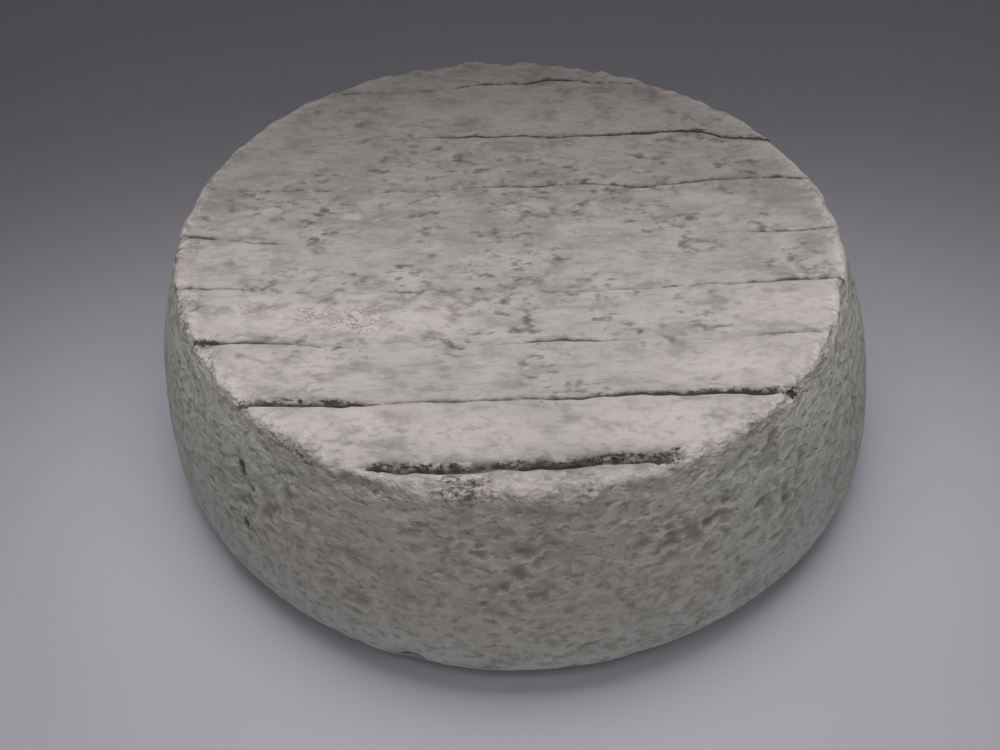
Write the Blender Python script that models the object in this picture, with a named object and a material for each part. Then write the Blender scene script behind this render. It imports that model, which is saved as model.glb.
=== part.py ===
"""A whole round of pressed natural-rind cheese, one solid.

The round sagged a little as it ripened, so its side bulges low down and its plan
is slightly oval. The wooden rack that it ripened on pressed straight lines into
the top, and into the underside at another angle, because the round is turned over.
X runs along the rack lines of the top. The origin is on the resting face.
"""

import math

import bpy
import numpy as np

MM = 0.001

# The turned form
MEAN_RADIUS = 100.0 * MM
HEIGHT = 66.8 * MM
BULGE_HEIGHT = 12.2 * MM
TOP_RADIUS = 88.9 * MM
BASE_RADIUS = 86.0 * MM
SIDE_CURVE = 2.12
UNDER_CURVE = 2.32
RIM_ROUNDING = 1.8 * MM
TOP_RISE_ACROSS = 0.0028
TOP_RISE_BACK = 0.025

# How far the plan leaves a true circle: waves round it, radius change, angle of the crest
PLAN_WAVES = (
    (2, 3.18 * MM, math.radians(-52.2)),
    (3, 0.99 * MM, math.radians(61.8)),
    (4, 0.34 * MM, math.radians(-42.4)),
)

# Mesh of the side
COLUMNS = 144
UNDER_RINGS = 4
SIDE_RINGS = 11
RIM_RINGS = 3

# Relief of the rind on the side
LUMP_HEIGHT = 0.32 * MM
LUMP_WAVES = 22
LUMP_TURNS = (12, 44)
LUMP_LENGTH = 14.0 * MM
LUMP_SEED = 5
CRUMB_HEIGHT = 0.4 * MM
CRUMB_SEED = 8

# Openings and cracks in the rind: angle, height, half width round, half width up, depth
RIND_OPENINGS = (
    (math.radians(-137.0), 49.0 * MM, 4.5 * MM, 4.5 * MM, 1.6 * MM),
    (math.radians(-135.6), 31.7 * MM, 4.5 * MM, 4.5 * MM, 1.2 * MM),
    (math.radians(-87.0), 51.9 * MM, 5.5 * MM, 4.5 * MM, 1.0 * MM),
    (math.radians(-20.8), 39.6 * MM, 4.5 * MM, 8.0 * MM, 1.4 * MM),
    (math.radians(-104.0), 9.0 * MM, 8.0 * MM, 5.0 * MM, 1.8 * MM),
)

# Rack lines of the top: place across, turn, rise of the ends, depths from left to right
END_REACH = 80.0 * MM
TOP_LINES = (
    (75.9 * MM, math.radians(1.1), -4.5 * MM, (0.5, 0.5, 0.9, 0.7, 0.5)),
    (50.4 * MM, math.radians(-1.8), -1.5 * MM, (0.5, 0.5, 0.5, 1.0, 1.6)),
    (25.9 * MM, math.radians(-0.2), 2.0 * MM, (0.7, 0.6, 0.7, 0.9, 0.9)),
    (3.7 * MM, math.radians(-0.3), 2.3 * MM, (0.9, 0.5, 0.5, 0.5, 0.8)),
    (-16.8 * MM, math.radians(-0.2), 2.6 * MM, (1.3, 0.6, 0.5, 0.6, 0.9)),
    (-36.6 * MM, math.radians(0.1), 2.6 * MM, (1.5, 0.6, 0.5, 0.5, 0.6)),
    (-56.3 * MM, math.radians(0.7), 1.3 * MM, (2.6, 2.2, 0.9, 1.1, 1.9)),
    (-78.4 * MM, math.radians(1.3), 1.7 * MM, (2.4, 3.2, 3.4, 3.5, 2.8)),
)

# Rack lines of the underside, evenly spaced and shallower
UNDER_LINES = 8
UNDER_SPACING = 22.0 * MM
UNDER_TURN = math.radians(25.0)
UNDER_DEPTHS = (0.9, 0.7, 0.8, 0.7, 0.9)

# Section of a rack line: a steep wall on one hand, a sloping one on the other
FLOOR_WIDTH = 0.3 * MM
STEEP_SLOPE = 0.35
GENTLE_SLOPE = 0.7
KNIFE_CLEARANCE = 1.0 * MM
KNIFE_OVERRUN = 6.0 * MM
KNIFE_STATION = 6.5 * MM
WANDER = 0.3 * MM
WANDER_LENGTH = 23.0 * MM
WANDER_PHASE = 2.0

# Looks
CREASE_ANGLE = math.radians(35.0)
RIND_COLOUR = (0.47, 0.45, 0.42, 1.0)
RIND_ROUGHNESS = 0.9


def clear_objects():
    """Remove every object that is already in the file."""
    for item in list(bpy.data.objects):
        bpy.data.objects.remove(item, do_unlink=True)


def plan_factor(angle):
    """Radius of the plan at an angle, as a share of the mean radius: one plus each wave."""
    waves = [size / MEAN_RADIUS * np.cos(turns * angle - crest) for turns, size, crest in PLAN_WAVES]
    return 1.0 + sum(waves)


def side_radius(height):
    """Mean radius at a height: it falls off the bulge by a power of the distance from it."""
    above = np.clip((height - BULGE_HEIGHT) / (HEIGHT - BULGE_HEIGHT), 0.0, None)
    below = np.clip((BULGE_HEIGHT - height) / BULGE_HEIGHT, 0.0, None)
    drawn_in = (MEAN_RADIUS - TOP_RADIUS) * above**SIDE_CURVE
    tucked_under = (MEAN_RADIUS - BASE_RADIUS) * below**UNDER_CURVE
    return MEAN_RADIUS - drawn_in - tucked_under


def profile():
    """Radius and height of each ring, from the resting face up to the flat of the top."""
    under = BULGE_HEIGHT * np.arange(UNDER_RINGS) / UNDER_RINGS
    side = np.linspace(BULGE_HEIGHT, HEIGHT - RIM_ROUNDING, SIDE_RINGS)
    height = np.concatenate([under, side])
    radius = side_radius(height)
    share = np.arange(1, RIM_RINGS + 1) / RIM_RINGS
    rim_radius = (1 - share) ** 2 * radius[-1] + 2 * share * (1 - share) * TOP_RADIUS
    rim_radius += share**2 * (TOP_RADIUS - RIM_ROUNDING)
    rim_height = HEIGHT - (1 - share) ** 2 * RIM_ROUNDING
    return np.concatenate([radius, rim_radius]), np.concatenate([height, rim_height])


def side_lumps(angle, height):
    """Uneven rind of the side: seeded waves that run round and up it, summed."""
    draw = np.random.default_rng(LUMP_SEED)
    total = np.zeros(np.broadcast(angle, height).shape)
    for _ in range(LUMP_WAVES):
        turns = draw.integers(*LUMP_TURNS)
        upward = draw.uniform(-2.0, 2.0) * math.pi / LUMP_LENGTH
        total += np.sin(turns * angle + upward * height + draw.uniform(0.0, 2.0 * math.pi))
    return LUMP_HEIGHT * total / math.sqrt(LUMP_WAVES)


def opening_depth(angle, height):
    """Depth of the openings and cracks: a rounded dent at each place in the list."""
    depth = np.zeros(np.broadcast(angle, height).shape)
    for middle, level, half_round, half_up, deepest in RIND_OPENINGS:
        round_share = (angle - middle) * MEAN_RADIUS / half_round
        up_share = (height - level) / half_up
        depth += deepest * np.clip(1.0 - round_share**2 - up_share**2, 0.0, None)
    return depth


def body_mesh():
    """The round before its rack lines: rings joined up the side, flat faces at both ends."""
    radius, height = (values[:, None] for values in profile())
    angle = (np.arange(COLUMNS)[None, :] + 0.5) * 2.0 * math.pi / COLUMNS - math.pi
    reach = radius * plan_factor(angle)
    reach = reach + side_lumps(angle, height) - opening_depth(angle, height)
    crumbs = np.random.default_rng(CRUMB_SEED).uniform(-1.0, 1.0, (RIM_RINGS, COLUMNS))
    reach[-RIM_RINGS:] += CRUMB_HEIGHT * crumbs
    x = reach * np.cos(angle)
    y = reach * np.sin(angle)
    z = height * (1.0 + (TOP_RISE_ACROSS * x + TOP_RISE_BACK * y) / HEIGHT)
    x -= (x.max() + x.min()) / 2.0
    y -= (y.max() + y.min()) / 2.0
    points = np.stack([x, y, z], axis=-1).reshape(-1, 3)
    rings = len(radius)
    faces = [tuple(reversed(range(COLUMNS)))]
    for ring in range(rings - 1):
        for column in range(COLUMNS):
            after = (column + 1) % COLUMNS
            low, high = ring * COLUMNS, (ring + 1) * COLUMNS
            faces.append((low + column, low + after, high + after, high + column))
    faces.append(tuple(range((rings - 1) * COLUMNS, rings * COLUMNS)))
    return make_mesh("cheese_wheel", points, faces)


def make_mesh(name, points, faces):
    """A new mesh from its points and faces."""
    mesh = bpy.data.meshes.new(name)
    mesh.from_pydata([tuple(point) for point in points], [], faces)
    mesh.validate()
    return mesh


def knife_points(across, turn, end_rise, depths, number):
    """Four corners of the knife at each station along one rack line, in its own level frame.

    The middle line is straight but for a turn, an even rise of its ends and a slow wander.
    The section widens upwards from a narrow floor, more on the gentle side than the steep.
    """
    half = math.sqrt(MEAN_RADIUS**2 - across**2) + KNIFE_OVERRUN
    stations = 2 * round(half / KNIFE_STATION) + 1
    x = np.linspace(-half, half, stations)
    depth = np.interp(x / half, np.linspace(-1.0, 1.0, len(depths)), depths) * MM
    middle = across + math.tan(turn) * x + end_rise * (x / END_REACH) ** 2
    middle += WANDER * np.sin(2.0 * math.pi * x / WANDER_LENGTH + WANDER_PHASE * number)
    cut = depth + KNIFE_CLEARANCE
    over = np.full_like(x, KNIFE_CLEARANCE)
    floor_far = (x, middle + FLOOR_WIDTH / 2.0, -depth)
    floor_near = (x, middle - FLOOR_WIDTH / 2.0, -depth)
    over_near = (x, middle - FLOOR_WIDTH / 2.0 - GENTLE_SLOPE * cut, over)
    over_far = (x, middle + FLOOR_WIDTH / 2.0 + STEEP_SLOPE * cut, over)
    corners = [np.stack(corner, axis=-1) for corner in (floor_far, floor_near, over_near, over_far)]
    return np.stack(corners, axis=1)


def knife_faces(stations, first):
    """Walls between the stations and a cap at each end, all facing out."""
    faces = [(first, first + 1, first + 2, first + 3)]
    for station in range(stations - 1):
        here = first + 4 * station
        for side in range(4):
            after = (side + 1) % 4
            faces.append((here + side, here + 4 + side, here + 4 + after, here + after))
    last = first + 4 * (stations - 1)
    faces.append((last + 3, last + 2, last + 1, last))
    return faces


def knife(name, lines, place):
    """One cutter that holds the knives of a whole face, each put in place by a function."""
    points = []
    faces = []
    for number, line in enumerate(lines):
        corners = knife_points(*line, number)
        faces += knife_faces(len(corners), len(points))
        points += [tuple(point) for point in place(corners.reshape(-1, 3))]
    cutter = bpy.data.objects.new(name, make_mesh(name, points, faces))
    bpy.context.scene.collection.objects.link(cutter)
    cutter.hide_render = True
    cutter.display_type = 'WIRE'
    return cutter


def on_top(points):
    """Lift points from a level frame to the sloping top."""
    x, y, z = points.T
    return np.stack([x, y, z + HEIGHT + TOP_RISE_ACROSS * x + TOP_RISE_BACK * y], axis=-1)


def under_base(points):
    """Roll points over by half a turn about X, then turn them to the underside's own angle."""
    x, y, z = points.T
    cos, sin = math.cos(UNDER_TURN), math.sin(UNDER_TURN)
    return np.stack([cos * x + sin * y, sin * x - cos * y, -z], axis=-1)


def under_lines():
    """The rack lines of the underside, evenly spaced each side of the middle."""
    places = (np.arange(UNDER_LINES) - (UNDER_LINES - 1) / 2.0) * UNDER_SPACING
    return [(across, 0.0, 0.0, UNDER_DEPTHS) for across in places]


def rind_material():
    """Dry pale grey rind."""
    material = bpy.data.materials.new("rind")
    material.use_nodes = True
    shader = material.node_tree.nodes["Principled BSDF"]
    shader.inputs["Base Color"].default_value = RIND_COLOUR
    shader.inputs["Roughness"].default_value = RIND_ROUGHNESS
    shader.inputs["Metallic"].default_value = 0.0
    return material


def cut(body, cutter):
    """Take a cutter out of the body."""
    step = body.modifiers.new(cutter.name, 'BOOLEAN')
    step.operation = 'DIFFERENCE'
    step.solver = 'EXACT'
    step.object = cutter


def build_wheel():
    """The round with the rack lines of both faces cut into it."""
    mesh = body_mesh()
    mesh.materials.append(rind_material())
    mesh.shade_smooth()
    mesh.set_sharp_from_angle(angle=CREASE_ANGLE)
    wheel = bpy.data.objects.new("cheese_wheel", mesh)
    bpy.context.scene.collection.objects.link(wheel)
    cut(wheel, knife("top_knives", TOP_LINES, on_top))
    cut(wheel, knife("under_knives", under_lines(), under_base))


clear_objects()
build_wheel()
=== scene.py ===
"""The looks of a whole natural-rind cheese wheel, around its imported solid."""

import math

import bpy
import numpy as np
from mathutils import Matrix, Vector


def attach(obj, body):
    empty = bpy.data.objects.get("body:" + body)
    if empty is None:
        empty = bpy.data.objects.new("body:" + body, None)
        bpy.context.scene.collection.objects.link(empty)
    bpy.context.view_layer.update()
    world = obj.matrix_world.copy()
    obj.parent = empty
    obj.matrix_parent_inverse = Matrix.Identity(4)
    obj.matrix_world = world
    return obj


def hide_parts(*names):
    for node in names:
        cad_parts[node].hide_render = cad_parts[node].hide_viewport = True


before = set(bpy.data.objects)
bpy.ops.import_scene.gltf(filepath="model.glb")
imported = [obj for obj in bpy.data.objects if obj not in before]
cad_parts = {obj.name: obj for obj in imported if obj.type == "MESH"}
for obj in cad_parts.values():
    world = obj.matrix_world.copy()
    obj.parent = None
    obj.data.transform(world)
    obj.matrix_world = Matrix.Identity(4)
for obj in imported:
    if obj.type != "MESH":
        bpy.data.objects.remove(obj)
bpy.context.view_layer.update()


# The camera
# A lens of moderate length looks down on the wheel from the front, a little rolled.
# It is fitted to the wheel's outline and the edge of its top in the photograph.

MM = 0.001
PHOTO_WIDTH = 1000.0
FOCAL_PIXELS = 1600.0
SENSOR_WIDTH = 36.0
CAMERA_PLACE = Vector((16.9, -334.8, 351.2)) * MM
CAMERA_AIM = Vector((-2.8, -11.9, 30.0)) * MM
CAMERA_ROLL = math.radians(-3.41)

camera = bpy.data.objects.new("camera", bpy.data.cameras.new("camera"))
bpy.context.scene.collection.objects.link(camera)
bpy.context.scene.camera = camera
camera.data.sensor_width = SENSOR_WIDTH
camera.data.lens = SENSOR_WIDTH * FOCAL_PIXELS / PHOTO_WIDTH
camera.data.clip_start = 10.0 * MM
looking = (CAMERA_AIM - CAMERA_PLACE).to_track_quat("-Z", "Y").to_matrix().to_4x4()
camera.matrix_world = Matrix.Translation(CAMERA_PLACE) @ looking @ Matrix.Rotation(CAMERA_ROLL, 4, "Z")


# The body of the wheel
# A round of pressed curd about two kilos in weight. It was moulded in cloth, then sagged
# as it ripened, so that its side bulges low down and its plan is a little oval.
# Lengths in this section are millimetres.

MEAN_RADIUS = 100.0
HEIGHT = 66.8
BULGE_HEIGHT = 12.2
TOP_RADIUS = 88.9
BASE_RADIUS = 86.0
SIDE_CURVE = 2.12
UNDER_CURVE = 2.32
RIM_ROUNDING = 1.8
TOP_RISE = np.array([0.0028, 0.025])
PLAN_MIDDLE = np.array([0.33, -0.80])
PLAN_WAVES = ((2, 3.18, -52.2), (3, 0.99, 61.8), (4, 0.34, -42.4))


def plan_factor(angle):
    """Plan radius at an angle as a share of the mean: one plus each wave round the plan."""
    waves = [size / MEAN_RADIUS * np.cos(n * angle - math.radians(crest)) for n, size, crest in PLAN_WAVES]
    return 1.0 + sum(waves)


def side_radius(height):
    """Mean radius at a height: it falls off the bulge by a power of the distance from it."""
    above = np.clip((height - BULGE_HEIGHT) / (HEIGHT - BULGE_HEIGHT), 0.0, None)
    below = np.clip((BULGE_HEIGHT - height) / BULGE_HEIGHT, 0.0, None)
    drawn_in = (MEAN_RADIUS - TOP_RADIUS) * above**SIDE_CURVE
    tucked_under = (MEAN_RADIUS - BASE_RADIUS) * below**UNDER_CURVE
    return MEAN_RADIUS - drawn_in - tucked_under


def top_level(x, y):
    """Height of the top before any relief: the wheel's height plus an even rise to the back."""
    return HEIGHT + TOP_RISE[0] * x + TOP_RISE[1] * y


def mean_reach(x, y):
    """Distance from the plan's middle with the oval taken out: it is the same all round a ring."""
    dx, dy = x + PLAN_MIDDLE[0], y + PLAN_MIDDLE[1]
    return np.hypot(dx, dy) / plan_factor(np.arctan2(dy, dx))


def smooth_step(low, high, value):
    """Cubic ramp from 0 at low to 1 at high."""
    share = np.clip((value - low) / (high - low), 0.0, 1.0)
    return share * share * (3.0 - 2.0 * share)


LATTICE_FACTORS = (73856093, 19349663, 83492791, 2654435761)
MIX_FACTOR = 0x45D9F3B
MIX_ROUNDS = 2
HALF_BITS = 16
ALL_BITS = 0xFFFFFFFF


def lattice(i, j, k, seed):
    """One value from 0 to 1 for a whole-number place and seed: all four multiplied and mixed."""
    a, b, c, d = LATTICE_FACTORS
    mixed = ((i * a) ^ (j * b) ^ (k * c) ^ (seed * d)) & ALL_BITS
    for _ in range(MIX_ROUNDS):
        mixed = ((mixed ^ (mixed >> HALF_BITS)) * MIX_FACTOR) & ALL_BITS
    return (mixed ^ (mixed >> HALF_BITS)) / ALL_BITS


def noise(points, size, seed):
    """Smooth random field from -1 to 1: lattice values of one grain size, blended in each cell."""
    scaled = points / np.asarray(size, dtype=float)
    corner = np.floor(scaled).astype(np.int64)
    share = scaled - corner
    share = share * share * (3.0 - 2.0 * share)
    total = np.zeros(len(points))
    for a in (0, 1):
        for b in (0, 1):
            for c in (0, 1):
                weight = np.ones(len(points))
                for axis, step in enumerate((a, b, c)):
                    weight *= share[:, axis] if step else 1.0 - share[:, axis]
                total += weight * lattice(corner[:, 0] + a, corner[:, 1] + b, corner[:, 2] + c, seed)
    return 2.0 * total - 1.0


def layered_noise(points, size, seed, layers=3):
    """Noise summed over finer and finer grain, each layer half the size and half the strength."""
    size = np.asarray(size, dtype=float)
    total = sum(noise(points, size / 2**n, seed + n) / 2**n for n in range(layers))
    return total / (2.0 - 0.5 ** (layers - 1))


# The rack lines
# The slats' edges pressed eight lines into the top, where grey and black mould grew.
# Each line is read off the photograph at the places where it turns or changes: place along,
# place across, depth, and how dark the mould and the painted shade in it are, from 0 to 1.

TOP_LINES = (
    ((-55, 73.6, 0.7, 0.7), (-44, 72.7, 0.5, 0.5), (-31, 73.0, 0.6, 0.65), (-22, 73.6, 0.4, 0.3),
     (-15, 73.9, 0.5, 0.5), (-12.5, 75.9, 0.9, 0.8), (-5, 76.4, 0.9, 0.9), (7.5, 75.4, 0.7, 0.7),
     (9.5, 77.0, 0.9, 0.9), (15, 77.6, 0.9, 0.9), (26, 75.9, 0.7, 0.6), (40, 74.9, 0.5, 0.5)),
    ((-80, 51.7, 0.5, 0.3), (-64, 51.5, 0.4, 0.15), (-30, 51.0, 0.4, 0.1), (-11, 50.0, 0.7, 0.75),
     (3, 49.8, 0.7, 0.8), (13, 48.7, 0.7, 0.8), (22, 49.2, 0.8, 0.65), (41, 49.7, 1.0, 0.9),
     (48, 50.8, 1.2, 1.0), (59, 49.4, 1.2, 1.0), (63, 46.8, 1.0, 0.8), (72, 46.0, 1.2, 0.9),
     (79, 45.0, 1.6, 1.0)),
    ((-86, 28.7, 0.6, 0.35), (-62, 27.2, 0.6, 0.40), (-45, 26.2, 0.6, 0.35), (-17, 25.3, 0.6, 0.45),
     (-8, 27.0, 0.7, 0.55), (11, 26.4, 0.8, 0.65), (21, 27.2, 0.8, 0.60), (37, 25.3, 0.9, 0.70),
     (54, 27.1, 0.9, 0.65), (65, 28.0, 1.0, 0.60), (79, 28.1, 0.9, 0.75), (88, 26.3, 0.8, 0.5)),
    ((-92, 7.9, 0.9, 0.9), (-84, 7.6, 0.7, 0.7), (-79, 6.3, 0.4, 0.25), (-71, 5.1, 0.5, 0.65),
     (-66, 4.6, 0.5, 0.5), (-61, 4.3, 0.3, 0.15), (-50, 3.8, 0.3, 0.1),
     (7, 2.8, 0.3, 0.2), (17, 4.6, 0.3, 0.3), (45, 4.8, 0.3, 0.1), (70, 5.4, 0.6, 0.5),
     (90, 5.8, 0.8, 0.6)),
    ((-93, -13.2, 1.2, 0.7), (-85, -13.0, 0.9, 0.6), (-70, -13.9, 0.6, 0.40), (-48, -16.4, 0.5, 0.35),
     (-25, -16.1, 0.5, 0.40), (-3, -15.9, 0.5, 0.42), (4, -17.3, 0.5, 0.40), (25, -17.3, 0.6, 0.40),
     (52, -15.6, 0.6, 0.40), (68, -14.7, 0.7, 0.45), (79, -14.0, 0.9, 0.65), (91, -13.8, 0.9, 0.6)),
    ((-88, -34.9, 1.8, 1.0), (-78, -33.7, 1.4, 1.0), (-71, -34.4, 0.8, 0.7), (-56, -35.0, 0.7, 0.6),
     (-37, -37.5, 0.4, 0.25), (0, -37.0, 0.4, 0.25), (8, -35.7, 0.7, 0.7), (19, -35.7, 0.7, 0.7),
     (40, -35.6, 0.4, 0.15), (57, -36.1, 0.5, 0.25), (70, -34.4, 0.6, 0.4), (84, -33.6, 0.7, 0.5)),
    ((-76, -56.0, 2.8, 1.0), (-50, -56.6, 2.4, 1.0), (-38, -57.1, 1.6, 1.0), (-31, -56.9, 0.6, 0.4),
     (-25, -56.1, 0.6, 0.5), (-7, -56.5, 0.8, 0.6), (5, -56.1, 0.7, 0.5), (15, -56.4, 0.8, 0.7),
     (30, -55.0, 1.1, 0.9), (52, -55.3, 1.5, 1.0), (68, -55.3, 2.0, 1.0), (76, -53.6, 2.2, 1.0)),
    ((-35, -77.8, 0.0, 0.0), (-32, -78.1, 2.2, 0.9), (-29, -78.4, 2.8, 1.0), (-14, -78.9, 3.2, 1.0),
     (10, -78.2, 3.4, 1.0), (30, -77.2, 3.4, 1.0), (40, -77.0, 3.0, 1.0), (43.5, -76.6, 2.4, 1.0),
     (46, -76.2, 0.3, 0.3), (52, -75.0, 0.0, 0.0)),
)
UNDER_LINES = 8
UNDER_SPACING = 22.0
UNDER_TURN = math.radians(25.0)
UNDER_END = 110.0
UNDER_STATIONS = 9
UNDER_WAVE = 17.0
UNDER_DEPTH = 0.8
UNDER_DARKNESS = 0.5
ROUTE_STEP = 0.5
ROUTE_END = 112.0
ALONG = np.arange(-ROUTE_END, ROUTE_END + ROUTE_STEP, ROUTE_STEP)
ROUTE_SMOOTHING = 1.6
SMOOTHING_REACH = 8.0
ROUTE_WANDER = 0.60
WANDER_LENGTH = 5.0
DEPTH_CHANGE = 0.25
DEPTH_LENGTH = 6.0
LINES_APART = 40.0

# The section of a line. Each pair but the last is a part that is always there and a share of
# the line's depth. The last is the depths between which its shade grows.
FAR_WALL = (0.35, 0.5)
NEAR_WALL = (0.35, 0.2)
SEAM_PLACE = 0.26
SEAM_WIDTH = (0.24, 0.12)
MOULD_PLACE = (0.1, 0.48)
MOULD_WIDTH = (0.3, 0.36)
MOST_SHADE = 0.35
SHADED_DEPTHS = (1.2, 3.0)


def under_line(number):
    """One evenly spaced line of the underside, with depths and darkness that vary by its number."""
    across = (number - (UNDER_LINES - 1) / 2.0) * UNDER_SPACING
    stations = np.linspace(-UNDER_END, UNDER_END, UNDER_STATIONS)
    wave = np.sin(stations / UNDER_WAVE + 2.0 * number)
    depth = UNDER_DEPTH + 0.2 * wave
    dark = UNDER_DARKNESS + 0.3 * wave
    return np.stack([stations, across + 0.6 * wave, depth, dark], axis=-1)


def line_routes(lines, seed):
    """Place across, depth and darkness of each line, every half millimetre along it.

    The read values are joined straight, then smoothed by a bell curve. A small random
    wander is added to the place, and the depth is made a little uneven. For the noise,
    the lines lie far enough apart to differ.
    """
    offsets = np.arange(-SMOOTHING_REACH, SMOOTHING_REACH + ROUTE_STEP, ROUTE_STEP)
    kernel = np.exp(-0.5 * (offsets / ROUTE_SMOOTHING) ** 2)
    kernel /= kernel.sum()
    routes = []
    for number, line in enumerate(lines):
        table = np.asarray(line, dtype=float)
        tracks = [np.interp(ALONG, table[:, 0], table[:, column]) for column in (1, 2, 3)]
        padded = [np.pad(track, len(kernel) // 2, mode="edge") for track in tracks]
        across, depth, dark = [np.convolve(track, kernel, mode="valid") for track in padded]
        spots = np.stack([ALONG, np.full_like(ALONG, LINES_APART * number), 0.0 * ALONG], axis=-1)
        across = across + ROUTE_WANDER * layered_noise(spots, WANDER_LENGTH, seed)
        depth = depth * (1.0 + DEPTH_CHANGE * noise(spots, DEPTH_LENGTH, seed + 9))
        routes.append(np.stack([across, depth, dark]))
    return np.array(routes)


def line_cut(x, y, routes):
    """Depth of the lines at a point of a face, and the strength of their seam and of the mould.

    Each line's section falls from the lip to the floor over a run that grows with its depth,
    gently from the far lip and steeply from the near one. The seam is a thin dark bell just
    beyond the floor, part dark mould and part painted shade at the foot of the far wall, less
    dark in a deep line, which is in shade anyway. The mould covers the far wall and frays out
    past its lip.
    """
    depth_here = np.zeros_like(x)
    seam_and_shade_here = np.zeros_like(x)
    mould_here = np.zeros_like(x)
    for across, depth, dark in routes:
        deep = np.interp(x, ALONG, depth)
        darkness = np.interp(x, ALONG, dark)
        beyond = y - np.interp(x, ALONG, across)
        run = np.where(beyond > 0.0, FAR_WALL[0] + FAR_WALL[1] * deep, NEAR_WALL[0] + NEAR_WALL[1] * deep)
        depth_here = np.maximum(depth_here, deep * (1.0 - smooth_step(0.0, 1.0, np.abs(beyond) / run)))
        seam_and_shade = np.exp(-(((beyond - SEAM_PLACE * deep) / (SEAM_WIDTH[0] + SEAM_WIDTH[1] * deep)) ** 2))
        in_shade = 1.0 - MOST_SHADE * smooth_step(*SHADED_DEPTHS, deep)
        seam_and_shade_here = np.maximum(seam_and_shade_here, darkness * in_shade * seam_and_shade)
        middle = MOULD_PLACE[0] + MOULD_PLACE[1] * deep
        fray = MOULD_WIDTH[0] + MOULD_WIDTH[1] * deep
        cover = np.exp(-(((beyond - middle) / fray) ** 2))
        mould_here = np.maximum(mould_here, darkness * cover * smooth_step(0.2, 1.0, deep))
    return depth_here, seam_and_shade_here, mould_here


def under_place(x, y):
    """From a face's own plane to the underside's: rolled over by half a turn, then turned."""
    cos, sin = math.cos(UNDER_TURN), math.sin(UNDER_TURN)
    return cos * x + sin * y, sin * x - cos * y


def same_place(x, y):
    """The top's own plane is the wheel's plan."""
    return x, y


# The skin of the wheel
# One closed surface: each flat face is a grid whose rows follow its rack lines, packed closer
# beside them, and the side is a grid of rings. A strip of triangles joins each pair.

FACE_COLUMNS = 164
UNDER_COLUMNS = 96
ROWS_A_MM = 1.12
UNDER_ROWS_A_MM = 0.6
ROW_PACKING = 0.72
FACE_MARGIN = 0.7
SIDE_COLUMNS = 660
SIDE_RINGS = 68
UNDER_RINGS = 12
RIM_RINGS = 5
TOP_LIMITS = (84.3, 84.4)
UNDER_LIMITS = (82.6, 82.6)


def face_rows(routes, limit, rows_a_mm):
    """Rows of a face across its plan: from each line to the next, closer together near both."""
    low = np.full((1, len(ALONG)), -limit[0])
    high = np.full((1, len(ALONG)), limit[1])
    edges = np.concatenate([low, np.sort(routes[:, 0], axis=0), high])
    rows = []
    for near, far in zip(edges[:-1], edges[1:]):
        steps = max(6, round(float(np.mean(far - near)) * rows_a_mm))
        share = np.arange(steps) / steps
        share = share - ROW_PACKING * np.sin(2.0 * np.pi * share) / (2.0 * np.pi)
        rows.append(near + share[:, None] * (far - near))
    rows.append(edges[-1:])
    return np.concatenate(rows)


def face_grid(rows, reach, place, columns):
    """Points of a face, a row at a time, each spread evenly between the ends that the plan allows."""
    points = []
    for row in rows:
        inside = np.flatnonzero(mean_reach(*place(ALONG, row)) < reach)
        ends = []
        for here, out in ((inside[0], inside[0] - 1), (inside[-1], inside[-1] + 1)):
            pair = mean_reach(*place(ALONG[[here, out]], row[[here, out]]))
            share = (reach - pair[0]) / (pair[1] - pair[0])
            ends.append(ALONG[here] + share * (ALONG[out] - ALONG[here]))
        x = np.linspace(ends[0], ends[1], columns)
        points.append(np.stack([x, np.interp(x, ALONG, row)], axis=-1))
    return np.array(points)


def grid_faces(rows, columns, first, closed=False):
    """Triangles of a grid of points, each square split in two, round to the start if closed."""
    numbers = first + np.arange(rows * columns).reshape(rows, columns)
    if closed:
        numbers = np.concatenate([numbers, numbers[:, :1]], axis=1)
    a, b = numbers[:-1, :-1].ravel(), numbers[:-1, 1:].ravel()
    c, d = numbers[1:, 1:].ravel(), numbers[1:, :-1].ravel()
    return np.concatenate([np.stack([a, b, c], axis=-1), np.stack([a, c, d], axis=-1)])


def rim_of_grid(rows, columns, first):
    """Numbers of the points round a grid's edge, anticlockwise."""
    numbers = first + np.arange(rows * columns).reshape(rows, columns)
    return np.concatenate([numbers[0], numbers[1:, -1], numbers[-1, -2::-1], numbers[-2:0:-1, 0]])


def strip_faces(inner, inner_plan, outer, outer_plan):
    """Triangles between two loops: their points are taken in order of angle, and each
    makes a triangle with the point before it on its own loop and the latest on the other."""
    loops = []
    for numbers, plan in ((inner, inner_plan), (outer, outer_plan)):
        angle = np.arctan2(plan[:, 1], plan[:, 0])
        order = np.argsort(angle, kind="stable")
        loops.append((numbers[order], angle[order]))
    (inner, inner_angle), (outer, outer_angle) = loops
    last_outer = np.searchsorted(outer_angle, inner_angle) - 1
    last_inner = np.searchsorted(inner_angle, outer_angle, side="right") - 1
    from_inner = np.stack([np.roll(inner, 1), outer[last_outer], inner], axis=-1)
    from_outer = np.stack([np.roll(outer, 1), outer, inner[last_inner]], axis=-1)
    return np.concatenate([from_inner, from_outer])


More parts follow.
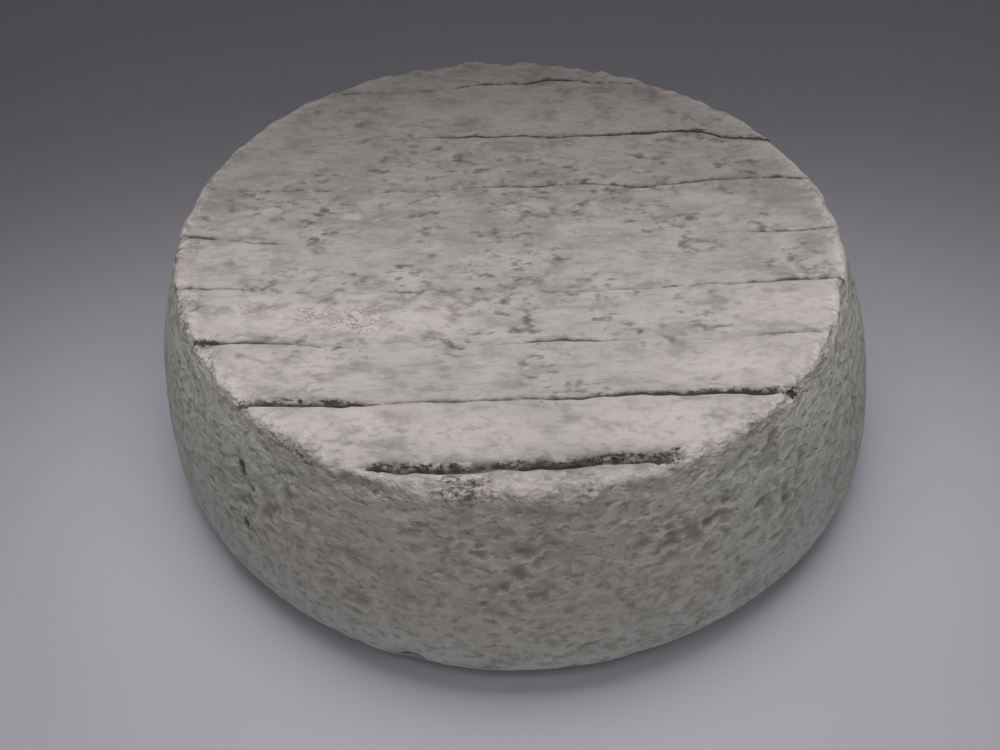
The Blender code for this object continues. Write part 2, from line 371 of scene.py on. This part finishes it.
def side_profile():
    """Radius, height and outward slope of each ring, from the resting face to the flat of the top."""
    under = BULGE_HEIGHT * (np.arange(UNDER_RINGS) / UNDER_RINGS) ** 1.5
    side = np.linspace(BULGE_HEIGHT, HEIGHT - RIM_ROUNDING, SIDE_RINGS - UNDER_RINGS)
    height = np.concatenate([under, side])
    radius = side_radius(height)
    share = np.arange(1, RIM_RINGS + 1) / RIM_RINGS
    rim_radius = (1 - share) ** 2 * radius[-1] + 2 * share * (1 - share) * TOP_RADIUS
    rim_radius += share**2 * (TOP_RADIUS - RIM_ROUNDING)
    rim_height = HEIGHT - (1 - share) ** 2 * RIM_ROUNDING
    radius = np.concatenate([radius, rim_radius])
    height = np.concatenate([height, rim_height])
    slope = np.stack([np.gradient(height), -np.gradient(radius)], axis=-1)
    return radius, height, slope / np.linalg.norm(slope, axis=-1, keepdims=True)


top_routes = line_routes(TOP_LINES, seed=21)
under_routes = line_routes([under_line(number) for number in range(UNDER_LINES)], seed=57)
face_reach = TOP_RADIUS - RIM_ROUNDING - FACE_MARGIN
under_reach = BASE_RADIUS - FACE_MARGIN
top_rows = face_rows(top_routes, TOP_LIMITS, ROWS_A_MM)
top_grid = face_grid(top_rows, face_reach, same_place, FACE_COLUMNS)
under_rows = face_rows(under_routes, UNDER_LIMITS, UNDER_ROWS_A_MM)
under_grid = face_grid(under_rows, under_reach, under_place, UNDER_COLUMNS)

ring_radius, ring_height, ring_slope = side_profile()
rings = len(ring_radius)
turn = (np.arange(SIDE_COLUMNS) + 0.5) * 2.0 * np.pi / SIDE_COLUMNS - np.pi
side_reach = ring_radius[:, None] * plan_factor(turn)[None, :]
side_x = side_reach * np.cos(turn) - PLAN_MIDDLE[0]
side_y = side_reach * np.sin(turn) - PLAN_MIDDLE[1]
side_z = ring_height[:, None] * top_level(side_x, side_y) / HEIGHT
side_points = np.stack([side_x, side_y, side_z], axis=-1)
side_normals = np.stack([ring_slope[:, :1] * np.cos(turn), ring_slope[:, :1] * np.sin(turn),
                         np.repeat(ring_slope[:, 1:], SIDE_COLUMNS, axis=1)], axis=-1)

top_xy = top_grid.reshape(-1, 2)
under_xy = np.stack(under_place(*under_grid.reshape(-1, 2).T), axis=-1)
top_points = np.column_stack([top_xy, top_level(*top_xy.T)])
under_points = np.column_stack([under_xy, np.zeros(len(under_xy))])
points = np.concatenate([top_points, side_points.reshape(-1, 3), under_points])
normals = np.concatenate([np.tile([0.0, 0.0, 1.0], (len(top_points), 1)), side_normals.reshape(-1, 3),
                          np.tile([0.0, 0.0, -1.0], (len(under_points), 1))])

side_first = len(top_points)
under_first = side_first + rings * SIDE_COLUMNS
top_rim = rim_of_grid(top_grid.shape[0], FACE_COLUMNS, 0)
under_rim = rim_of_grid(under_grid.shape[0], UNDER_COLUMNS, under_first)
first_ring = side_first + np.arange(SIDE_COLUMNS)
last_ring = first_ring + (rings - 1) * SIDE_COLUMNS
in_under_plane = np.stack(under_place(points[:, 0], points[:, 1]), axis=-1)
faces = np.concatenate([
    grid_faces(top_grid.shape[0], FACE_COLUMNS, 0),
    strip_faces(top_rim, points[top_rim, :2], last_ring, points[last_ring, :2]),
    grid_faces(rings, SIDE_COLUMNS, side_first, closed=True),
    strip_faces(under_rim, in_under_plane[under_rim], first_ring, in_under_plane[first_ring]),
    grid_faces(under_grid.shape[0], UNDER_COLUMNS, under_first),
])


# The relief of the rind
# Curds show through the rind of the side as shallow bowls with thin wavy edges between them. The
# top is pressed flatter, in small flakes drawn out along the rack lines. The rim is crumbly.
# Lengths are millimetres and angles are degrees.

BOWL_LAYERS = (((4.2, 4.2, 2.9), 1.0), ((2.3, 2.3, 1.7), 0.60))
BOWL_WARP = 1.3
WARP_SIZE = 5.0
BOWL_DEPTH = 0.95
EDGE_ROUNDING = 0.12
PIT_DEPTH = 0.30
PITTED_SIZE = 11.0
CURDY_SIZES = (17.0, 6.5)
CURDS_FROM = (14.0, 32.0)
LUMP_SIZE = 13.0
LUMP_HEIGHT = 0.35
CRUMB_LAYERS = ((8.0, 0.65), (3.6, 0.80), (2.2, 0.30))
FLAKE_SIZE = np.array([6.0, 2.4, 3.0])
FLAKE_HEIGHT = 0.20
SWELL_SIZE = 26.0
SWELL_HEIGHT = 0.25
MOULD_FUR = 0.35
RIM_CRUMBS = 0.9
BASE_CRUMBS = 0.8
STRIP_CRUMBS = 1.3
RIM_WIDTH = 3.0
RIM_DEPTH = 9.0
STRIP_EDGE = -80.0
STRIP_MIDDLE = 4.0
STRIP_ENDS = (60.0, 40.0)
BASE_WIDTH = 6.0

# Openings and cracks in the side: angle, height, half width round, half width up, lean, depth
OPENINGS = (
    (-137.0, 49.0, 1.7, 2.4, 0.5, 1.5),
    (-134.0, 45.2, 1.3, 1.3, 0.0, 1.0),
    (-135.8, 31.0, 1.3, 2.4, 0.4, 1.1),
    (-95.5, 47.4, 3.0, 1.0, 0.0, 0.5),
    (-99.0, 45.0, 2.6, 0.9, -0.5, 0.6),
    (-105.0, 60.0, 2.2, 1.2, 0.0, 0.6),
    (-57.0, 51.0, 1.6, 1.3, 0.0, 0.6),
    (-48.0, 18.0, 2.4, 1.6, 0.5, 0.5),
    (-87.0, 51.9, 3.6, 1.3, 0.0, 0.7),
    (-20.8, 39.6, 0.7, 7.0, 0.1, 1.1),
    (-77.6, 18.2, 4.5, 0.8, 0.1, 0.8),
    (-91.5, 19.6, 2.5, 0.8, 0.2, 0.7),
    (-104.5, 8.5, 3.5, 3.0, 0.0, 2.0),
    (-101.0, 6.5, 1.6, 2.0, 0.3, 1.4),
)

# Dark notches at the ends of lines: place, half width along, half width across, depth
NOTCHES = (
    (42.7, -74.6, 1.5, 2.2, 2.4),
    (72.6, -54.0, 2.4, 1.6, 1.4),
    (-78.0, -34.9, 2.6, 1.1, 0.9),
    (-64.0, -54.4, 1.6, 1.2, 0.8),
)

# Specks of dark mould under the rim: angle, height, half width round, half width up, lean, strength
RIM_MOULD = (
    (178.0, 65.8, 16.0, 2.5, 0.0, 0.80),
    (-166.0, 65.8, 13.0, 2.5, 0.0, 0.82),
    (-141.0, 65.0, 6.0, 2.0, 0.0, 0.50),
    (-124.0, 64.5, 11.0, 3.4, 0.3, 0.85),
    (-112.0, 65.0, 6.0, 2.6, 0.0, 0.60),
    (-95.5, 66.6, 18.0, 2.8, 0.0, 0.85),
    (-89.0, 64.6, 4.0, 2.4, 0.0, 0.80),
    (-76.0, 66.0, 11.0, 2.0, 0.0, 0.75),
    (-62.0, 65.5, 6.0, 2.2, 0.0, 0.75),
    (-47.0, 65.6, 11.0, 2.0, 0.0, 0.65),
    (-33.0, 65.6, 7.0, 2.0, 0.0, 0.55),
)

# An ochre stain in the front of the side, in the same terms
OCHRE = (
    (-84.6, 38.5, 4.6, 2.6, 0.3, 0.9),
    (-96.5, 44.5, 3.6, 1.8, 0.0, 0.4),
    (-90.5, 33.5, 2.6, 1.6, 0.0, 0.4),
)

# Patches of pinkish white bloom on the top: place, half width along, half width across, strength
BLOOM = (
    (-62.0, -25.0, 34.0, 8.0, 0.70),
    (-30.0, -27.0, 20.0, 8.0, 0.70),
    (-58.0, -46.0, 22.0, 8.0, 0.55),
    (-40.0, -66.0, 26.0, 9.5, 0.90),
    (-8.0, -68.0, 20.0, 9.0, 0.80),
    (42.0, -66.0, 26.0, 9.0, 0.95),
    (58.0, -45.0, 22.0, 8.0, 0.60),
    (78.0, -26.0, 18.0, 10.0, 0.55),
    (-82.0, 0.0, 12.0, 8.0, 0.45),
    (52.0, 20.0, 6.0, 2.5, 0.60),
    (5.0, 68.0, 75.0, 20.0, 0.42),
)

# Small spots of fresh white bloom, in the same terms
FRESH = (
    (-66.5, 18.0, 3.6, 2.0, 1.0),
    (-43.5, 15.0, 4.2, 1.8, 0.9),
    (-73.5, 9.5, 2.8, 2.2, 0.7),
    (26.0, 60.5, 4.0, 2.4, 0.6),
)

# Where the pink bloom has dried into a web of fine dark red cracks, in the same terms
CRACKED = (
    (-66.0, -22.0, 9.0, 3.5, 0.60),
    (-50.0, -24.5, 9.0, 4.5, 0.90),
    (-38.0, -27.0, 9.0, 5.5, 1.00),
)

angle = np.arctan2(points[:, 1] + PLAN_MIDDLE[1], points[:, 0] + PLAN_MIDDLE[0])
reach_here = mean_reach(points[:, 0], points[:, 1])
height_here = points[:, 2] / top_level(points[:, 0], points[:, 1]) * HEIGHT


def side_spots(spots):
    """Strength of the strongest of some oval spots of the side, each a bell of the way from its middle."""
    strongest = np.zeros(len(points))
    for at, level, half_round, half_up, lean, strength in spots:
        up_way = height_here - level
        turned = np.mod(angle - math.radians(at) + math.pi, 2.0 * math.pi) - math.pi
        round_way = turned * MEAN_RADIUS + lean * up_way
        spread = (round_way / half_round) ** 2 + (up_way / half_up) ** 2
        strongest = np.maximum(strongest, strength * np.exp(-spread))
    return strongest


def top_spots(spots):
    """Strength of the strongest of some oval spots of the top, each flat in its middle, then a bell."""
    strongest = np.zeros(len(points))
    for x, y, half_along, half_across, strength in spots:
        spread = ((points[:, 0] - x) / half_along) ** 2 + ((points[:, 1] - y) / half_across) ** 2
        strongest = np.maximum(strongest, strength * np.exp(-(spread**1.5)))
    return strongest


on_side = smooth_step(0.0, 0.6, 1.0 - 1.15 * np.abs(normals[:, 2]))
on_top = smooth_step(0.5, 1.0, normals[:, 2])
near_rim = np.exp(-(((reach_here - TOP_RADIUS) / RIM_WIDTH) ** 2))
near_rim *= smooth_step(HEIGHT - RIM_DEPTH, HEIGHT - 1.5, height_here)
front_strip = on_top * smooth_step(STRIP_EDGE + 1.0, STRIP_EDGE - 1.0, points[:, 1])
front_strip *= smooth_step(*STRIP_ENDS, np.abs(points[:, 0] - STRIP_MIDDLE))
crumbly = np.maximum(near_rim, STRIP_CRUMBS * front_strip)
near_base = np.exp(-((height_here / BASE_WIDTH) ** 2)) * on_side

# The bowls fall away on both sides of the places where a noise passes through zero
warp = np.stack([noise(points, WARP_SIZE, seed) for seed in (71, 72, 73)], axis=-1)
bent = points + BOWL_WARP * warp
curds = sum(share * noise(bent, size, 31 + n) for n, (size, share) in enumerate(BOWL_LAYERS))
bowls = np.hypot(curds, EDGE_ROUNDING) - EDGE_ROUNDING
pits = smooth_step(0.45, 0.80, np.abs(curds)) * smooth_step(-0.2, 0.3, noise(points, PITTED_SIZE, 93))
curd_strength = 0.5 + 0.5 * smooth_step(-0.25, 0.35, noise(points, CURDY_SIZES[0], 91))
curd_strength *= 0.45 + 0.55 * smooth_step(*CURDS_FROM, height_here)
curd_strength *= 0.50 + 0.50 * smooth_step(-0.35, 0.30, noise(points, CURDY_SIZES[1], 92))
side_relief = LUMP_HEIGHT * layered_noise(points, LUMP_SIZE, 41)
side_relief -= curd_strength * (BOWL_DEPTH * bowls + PIT_DEPTH * pits)

flakes = layered_noise(points, FLAKE_SIZE, 61)
top_relief = FLAKE_HEIGHT * flakes + SWELL_HEIGHT * noise(points, SWELL_SIZE, 63)
crumbs = sum(height * noise(points, size, 51 + n) for n, (size, height) in enumerate(CRUMB_LAYERS))

top_depth, top_seam_and_shade, top_mould = line_cut(points[:, 0], points[:, 1], top_routes)
under_depth, under_seam_and_shade, under_mould = line_cut(in_under_plane[:, 0], in_under_plane[:, 1], under_routes)
notch = top_spots(NOTCHES)
opening = side_spots(OPENINGS)
top_depth = np.maximum(top_depth, notch)
top_mould = np.maximum(top_mould, 1.25 * smooth_step(0.1, 1.2, notch))

relief = on_side * smooth_step(0.0, 7.0, height_here) * (1.0 - near_rim) * side_relief - on_side * opening
relief += on_top * (1.0 - near_rim) * (top_relief + MOULD_FUR * top_mould * crumbs)
relief += (RIM_CRUMBS * crumbly + BASE_CRUMBS * near_base) * crumbs

floor_level = top_level(points[:, 0], points[:, 1]) - top_depth
reaches_top = height_here > HEIGHT - 4.5
points[:, 2] = np.where(reaches_top, np.minimum(points[:, 2], floor_level), points[:, 2])
faces_down = normals[:, 2] < -0.3
points[:, 2] = np.where(faces_down, np.maximum(points[:, 2], under_depth), points[:, 2])
points += normals * relief[:, None]
points[:, 2] = np.maximum(points[:, 2], 0.0)

# Where the top is most aged, where it is dull, and where the side is warm in colour
MOST_AGED_AT = (25.0, -10.0)
MOST_AGED_REACH = (50.0, 38.0)
DULL_AT = 20.0
DULL_REACH = 24.0
WARM_AT = math.radians(-93.0)
WARM_REACH = math.radians(42.0)
WARM_FROM = (14.0, 30.0)

# How large the patches of each kind are
AGED_SIZE = 13.0
DAMP_SIZE = 20.0
PALE_SIZE = 18.0
RIM_BLOOM_SIZE = 9.0

# What the material reads at each point: shares from 0 to 1 or a little more, but for the curds,
# which pass through zero at the edges of the bowls
top_share = smooth_step(HEIGHT - 5.0, HEIGHT - 2.0, height_here)
under_share = smooth_step(3.0, 1.0, height_here)
from_aged = (points[:, :2] - MOST_AGED_AT) / MOST_AGED_REACH
most_aged = np.exp(-(from_aged[:, 0] ** 2) - from_aged[:, 1] ** 2)
dull_across = np.exp(-(((points[:, 1] - DULL_AT) / DULL_REACH) ** 2))
warm_round = np.exp(-(((angle - WARM_AT) / WARM_REACH) ** 2))
rim_bloom = crumbly * (0.75 + 0.5 * noise(points, RIM_BLOOM_SIZE, 95))
aged = layered_noise(points, AGED_SIZE, 97, layers=2) + 0.25 * on_top * most_aged
skin_fields = {
    # The seam is partly dark mould and partly painted shade along the floors of the lines.
    "seam_and_shade": np.maximum(top_seam_and_shade * top_share, under_seam_and_shade * under_share),
    "mould": np.maximum(top_mould * top_share, under_mould * under_share),
    "speckle": side_spots(RIM_MOULD) * smooth_step(TOP_RADIUS - 8.0, TOP_RADIUS - 5.0, reach_here),
    "ochre": side_spots(OCHRE) * on_side,
    "bloom": np.clip(on_top * top_spots(BLOOM) + rim_bloom, 0.0, 1.0),
    "fresh": on_top * top_spots(FRESH),
    "cracked": on_top * top_spots(CRACKED),
    "aged": smooth_step(-0.25, 0.30, aged),
    "damp": smooth_step(-0.10, 0.45, layered_noise(points, DAMP_SIZE, 99)),
    "pale": smooth_step(-0.10, 0.45, layered_noise(points, PALE_SIZE, 103)),
    "dull": on_top * dull_across,
    "warm": on_side * warm_round * smooth_step(*WARM_FROM, height_here),
    # Painted shade in the pits of the curds, which the mesh also sinks.
    "pit": on_side * (1.0 - near_rim) * curd_strength * pits,
    # Dark inside the openings and cracks: partly the mould in them, partly painted shade.
    "opening": on_side * smooth_step(0.25, 1.1, opening),
    "crumbly": np.clip(crumbly, 0.0, 1.0),
    # Painted shade in the hollows between the rim's crumbs.
    "crevice": crumbly * smooth_step(0.15, 0.9, -crumbs),
    "curds": curds,
    "curdled": on_side * (1.0 - near_rim) * curd_strength,
    "on_top": on_top,
    "on_side": 1.0 - on_top,
}
skin_fields["aged"] *= 1.0 - 0.6 * skin_fields["bloom"]


def skin_mesh(name, points, faces, fields):
    """A mesh in metres from arrays of points and triangles, with one attribute for each field."""
    mesh = bpy.data.meshes.new(name)
    mesh.vertices.add(len(points))
    mesh.vertices.foreach_set("co", (points * MM).astype(np.float32).ravel())
    mesh.loops.add(faces.size)
    mesh.loops.foreach_set("vertex_index", faces.astype(np.int32).ravel())
    mesh.polygons.add(len(faces))
    mesh.polygons.foreach_set("loop_start", np.arange(0, faces.size, 3, dtype=np.int32))
    mesh.polygons.foreach_set("loop_total", np.full(len(faces), 3, dtype=np.int32))
    mesh.update(calc_edges=True)
    for field, values in fields.items():
        mesh.attributes.new(field, "FLOAT", "POINT").data.foreach_set("value", values.astype(np.float32))
    mesh.shade_smooth()
    mesh.validate()
    return mesh


wheel = bpy.data.objects.new("cheese_rind", skin_mesh("cheese_rind", points, faces, skin_fields))
bpy.context.scene.collection.objects.link(wheel)


# The rind's material
# Dry natural rind: a matt, dusty bloom of pale grey moulds, neither shiny nor translucent.
# Pinkish white patches show fresh bloom, grey-green flecks older mould, black the rack lines.
# Painted highlights on the curds' edges and painted shade in their bowls, pits and openings,
# between the rim's crumbs and along the floors of the lines stand in for light and shade.

# Patterns: name, grain in millimetres, how far drawn out along X, Y and Z, detail, roughness
GRAINS = (
    ("patchy", 6.0, (1.7, 1.0, 1.0), 3.0, 0.60),
    ("flecky", 3.6, (1.8, 1.0, 1.0), 3.0, 0.55),
    ("fine", 1.9, (1.7, 1.0, 1.0), 3.0, 0.55),
    ("streaky", 1.5, (5.0, 1.0, 1.0), 2.0, 0.60),
    ("curdy", 3.4, (1.0, 1.0, 0.65), 3.0, 0.60),
    ("clumpy", 2.4, (2.0, 1.0, 1.0), 4.0, 0.72),
    ("tooth", 0.8, (1.0, 1.0, 1.0), 2.0, 0.50),
    ("flaky", 2.2, (1.8, 1.0, 1.0), 2.0, 0.50),
    ("pitted", 2.4, (1.3, 1.3, 0.9), 2.0, 0.50),
    ("peppery", 1.1, (1.3, 1.0, 1.0), 3.0, 0.65),
)
GRAIN_SHIFT = (0.37, 0.11, 0.23)
WANDER_GRAIN = 5.0
WANDER_REACH = 1.3

# Steps that make patterns from others and from fields: name, operation, terms
STEPS = (
    ("specks", "ADD", "flecky", "fine"),
    ("ragged", "ADD", "clumpy", "peppery"),
    ("clumps", "MULTIPLY_ADD", "mould", 0.32, "ragged"),
    ("spatter", "MULTIPLY_ADD", "speckle", 0.42, "peppery"),
    ("ochre_spots", "MULTIPLY_ADD", "ochre", 0.5, "clumpy"),
    ("dashes", "MULTIPLY_ADD", "fine", 0.9, "seam_and_shade"),
    ("from_middle", "SUBTRACT", "fine", 0.5),
    ("cracks", "ABSOLUTE", "from_middle"),
    ("from_edge", "ABSOLUTE", "curds"),
    ("edges", "MULTIPLY_ADD", "fine", 0.20, "from_edge"),
)

SIDE_COLOUR = "#d1d2cb"
TOP_COLOUR = "#c1bbb9"

# Stains, painted highlights and painted shade, the lowest first: colour, what it follows, where
# that starts to show and where it is full, strength, and the fields that it keeps to
STAINS_AND_PAINTED_LIGHT = (
    ("#d2ccbf", "warm", 0.0, 1.0, 0.90, ()),
    ("#a39f9b", "dull", 0.0, 1.0, 0.25, ()),
    ("#ccc6c5", "patchy", 0.50, 0.36, 0.70, ("on_top",)),
    ("#a9a59f", "patchy", 0.50, 0.66, 0.85, ("on_top",)),
    ("#a39e97", "patchy", 0.40, 0.62, 0.40, ("damp", "on_top")),
    ("#dbd5cf", "curdy", 0.48, 0.66, 0.55, ("pale", "on_side")),
    ("#a49d91", "curdy", 0.52, 0.34, 0.60, ("damp", "on_side")),
    ("#a1a098", "patchy", 0.50, 0.64, 0.50, ("aged", "on_side")),
    ("#ada79e", "fine", 0.52, 0.66, 0.60, ("on_side",)),
    ("#d0cac5", "fine", 0.44, 0.32, 0.45, ("on_top",)),
    ("#98938b", "streaky", 0.53, 0.66, 0.40, ("on_top",)),
    ("#918b81", "specks", 1.03, 1.18, 0.80, ("aged", "on_top")),
    ("#706a5d", "specks", 1.16, 1.32, 0.80, ("aged", "on_top")),
    ("#e5d9d5", "patchy", 0.72, 0.46, 0.90, ("bloom",)),
    ("#b3a8a2", "fine", 0.54, 0.66, 0.55, ("bloom",)),
    ("#86706a", "cracks", 0.035, 0.010, 0.80, ("cracked",)),
    ("#d9d3d0", "fresh", 0.25, 0.75, 0.75, ()),
    # Painted shade in the hollows between the rim's crumbs.
    ("#8b8577", "crevice", 0.2, 1.0, 0.60, ()),
    ("#8a805a", "ochre_spots", 0.70, 0.98, 0.80, ()),
    # Painted shade in the pits of the curds.
    ("#8f8678", "pit", 0.0, 1.0, 0.70, ()),
    # Painted shade in the curds' bowls, darker away from their edges.
    ("#a5a092", "from_edge", 0.12, 0.60, 0.35, ("curdled",)),
    # A painted highlight on the thin edges between the curds' bowls.
    ("#e4ded8", "edges", 0.30, 0.08, 0.55, ("curdled",)),
    # Painted shade in the small dents of the side, which the fine relief below presses in.
    ("#9b9688", "pitted", 0.53, 0.72, 0.58, ("on_side",)),
    # Dark inside the openings and cracks: partly the mould in them, partly painted shade.
    ("#4c4740", "opening", 0.0, 1.0, 0.90, ()),
    ("#eee7e1", "peppery", 0.48, 0.36, 0.70, ("crumbly",)),
    ("#7b7871", "fine", 0.30, 0.60, 0.80, ("mould",)),
    ("#8d8a84", "fine", 0.40, 0.60, 0.55, ("speckle",)),
    ("#444447", "spatter", 0.80, 0.94, 0.88, ("speckle",)),
    ("#343437", "clumps", 1.26, 1.44, 0.95, ("mould",)),
    # The dark seam along each rack line: dark mould and painted shade at the foot of its far wall.
    ("#544b3e", "dashes", 0.60, 1.20, 0.95, ()),
)

# Relief too fine for the mesh: what it follows, low, high, height in millimetres, kept to
FINE_RELIEF = (
    ("tooth", 0.0, 1.0, 0.06, ()),
    ("flaky", 0.0, 1.0, 0.30, ("on_top",)),
    ("patchy", 0.3, 0.7, -0.35, ("on_top",)),
    ("specks", 1.04, 1.30, -0.10, ("on_top",)),
    ("curdy", 0.0, 1.0, 0.35, ("on_side",)),
    ("edges", 0.34, 0.08, 0.08, ("curdled",)),
    ("pitted", 0.50, 0.76, -0.40, ("on_side",)),
    ("peppery", 0.3, 0.7, 0.13, ("crumbly",)),
    ("curdy", 0.2, 0.8, 0.60, ("bloom",)),
)


def linear(hex_colour):
    """Linear colour of an sRGB hex value."""
    parts = [int(hex_colour[place:place + 2], 16) / 255.0 for place in (1, 3, 5)]
    return tuple(p / 12.92 if p <= 0.04045 else ((p + 0.055) / 1.055) ** 2.4 for p in parts) + (1.0,)


def add(tree, kind, inputs=(), **settings):
    """Add a node, set its properties, and give each input a value or a link."""
    made = tree.nodes.new(kind)
    for name, value in settings.items():
        setattr(made, name, value)
    for socket, value in dict(inputs).items():
        if isinstance(value, bpy.types.NodeSocket):
            tree.links.new(value, made.inputs[socket])
        else:
            made.inputs[socket].default_value = value
    return made


rind = bpy.data.materials.new("natural_rind")
rind.use_nodes = True
tree = rind.node_tree
tree.nodes.clear()
place = add(tree, "ShaderNodeTexCoord").outputs["Object"]
wander = add(tree, "ShaderNodeTexNoise", {
    "Vector": place, "Scale": 1.0 / (WANDER_GRAIN * MM), "Detail": 1.0}).outputs["Color"]
bent_place = add(tree, "ShaderNodeVectorMath", {0: wander, 1: (WANDER_REACH * MM,) * 3, 2: place},
                 operation="MULTIPLY_ADD").outputs[0]

sources = {}
for name in skin_fields:
    sources[name] = add(tree, "ShaderNodeAttribute", attribute_name=name).outputs["Fac"]
for number, (name, size, drawn_out, detail, roughness) in enumerate(GRAINS):
    moved = add(tree, "ShaderNodeMapping", {
        "Vector": bent_place, "Location": [number * shift for shift in GRAIN_SHIFT],
        "Scale": [1.0 / length for length in drawn_out]})
    sources[name] = add(tree, "ShaderNodeTexNoise", {
        "Vector": moved.outputs[0], "Scale": 1.0 / (size * MM), "Detail": detail,
        "Roughness": roughness}).outputs["Fac"]
for name, operation, *terms in STEPS:
    inputs = {number: sources.get(term, term) for number, term in enumerate(terms)}
    sources[name] = add(tree, "ShaderNodeMath", inputs, operation=operation).outputs[0]

shares = []
for source, low, high, strength, kept in [row[-5:] for row in STAINS_AND_PAINTED_LIGHT + FINE_RELIEF]:
    share = add(tree, "ShaderNodeMapRange", {0: sources[source], 1: low, 2: high, 3: 0.0, 4: strength},
                interpolation_type="SMOOTHSTEP").outputs[0]
    for field in kept:
        share = add(tree, "ShaderNodeMath", {0: share, 1: sources[field]}, operation="MULTIPLY").outputs[0]
    shares.append(share)

colour = linear(SIDE_COLOUR)
layers = [(TOP_COLOUR, sources["on_top"])] + [(row[0], share) for row, share in zip(STAINS_AND_PAINTED_LIGHT, shares)]
for layer_colour, share in layers:
    colour = add(tree, "ShaderNodeMix", {0: share, 6: colour, 7: linear(layer_colour)},
                 data_type="RGBA").outputs[2]
height = shares[len(STAINS_AND_PAINTED_LIGHT)]
for share in shares[len(STAINS_AND_PAINTED_LIGHT) + 1:]:
    height = add(tree, "ShaderNodeMath", {0: height, 1: share}, operation="ADD").outputs[0]
bump = add(tree, "ShaderNodeBump", {"Height": height, "Strength": 1.0, "Distance": MM}).outputs[0]
shader = add(tree, "ShaderNodeBsdfPrincipled", {
    "Base Color": colour, "Roughness": 0.92, "Specular IOR Level": 0.25, "Sheen Weight": 0.05,
    "Sheen Roughness": 0.6, "Normal": bump})
add(tree, "ShaderNodeOutputMaterial", {"Surface": shader.outputs[0]})
wheel.data.materials.append(rind)

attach(wheel, "root")
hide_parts("cheese_wheel")


# The floor and the light
# A plain pale floor. One soft lamp hangs low over the wheel, one in front, and one at each front
# corner leans towards it. One is far above, and a small one lights the back from low down.

FLOOR_SIZE = 3.0
FLOOR_COLOUR = "#cecbd4"
ROOM_COLOUR = "#f0f2f6"
ROOM_STRENGTH = 0.015

# Lamps: place, what it is aimed at, width, depth, spread in degrees, power in watts
LAMPS = {
    "lamp_above": ((0.0, -0.035, 0.24), (0.0, -0.035, 0.0), 0.35, 0.12, 80.0, 0.111),
    "lamp_front": ((0.0, -0.24, 0.24), (0.0, -0.24, 0.0), 0.70, 0.12, 70.0, 0.218),
    "lamp_right": ((0.34, -0.38, 0.34), (0.22, -0.20, 0.0), 0.40, 0.40, 100.0, 0.125),
    "lamp_left": ((-0.34, -0.38, 0.34), (-0.22, -0.20, 0.0), 0.40, 0.40, 100.0, 0.095),
    "lamp_behind": ((0.0, 0.32, 1.0), (0.0, 0.32, 0.0), 0.70, 0.30, 180.0, 0.68),
    "lamp_low": ((0.0, 0.42, 0.12), (0.0, 0.0, 0.08), 0.50, 0.12, 60.0, 0.045),
}

half = FLOOR_SIZE / 2.0
corners = [(-half, -half, 0.0), (half, -half, 0.0), (half, half, 0.0), (-half, half, 0.0)]
floor_mesh = bpy.data.meshes.new("floor")
floor_mesh.from_pydata(corners, [], [(0, 1, 2, 3)])
floor = bpy.data.objects.new("floor", floor_mesh)
bpy.context.scene.collection.objects.link(floor)
paper = bpy.data.materials.new("pale_paper")
paper.use_nodes = True
paper_shader = paper.node_tree.nodes["Principled BSDF"]
paper_shader.inputs["Base Color"].default_value = linear(FLOOR_COLOUR)
paper_shader.inputs["Roughness"].default_value = 0.8
floor_mesh.materials.append(paper)

for name, (at, aim, width, depth, spread, power) in LAMPS.items():
    lamp = bpy.data.objects.new(name, bpy.data.lights.new(name, "AREA"))
    lamp.data.shape = "RECTANGLE"
    lamp.data.size = width
    lamp.data.size_y = depth
    lamp.data.spread = math.radians(spread)
    lamp.data.energy = power
    lamp.location = at
    lamp.rotation_euler = (Vector(aim) - Vector(at)).to_track_quat("-Z", "Y").to_euler()
    lamp.visible_camera = False
    bpy.context.scene.collection.objects.link(lamp)

world = bpy.data.worlds.new("dim_room")
world.use_nodes = True
background = world.node_tree.nodes["Background"]
background.inputs["Color"].default_value = linear(ROOM_COLOUR)
background.inputs["Strength"].default_value = ROOM_STRENGTH
bpy.context.scene.world = world
bpy.context.scene.view_settings.view_transform = "Standard"
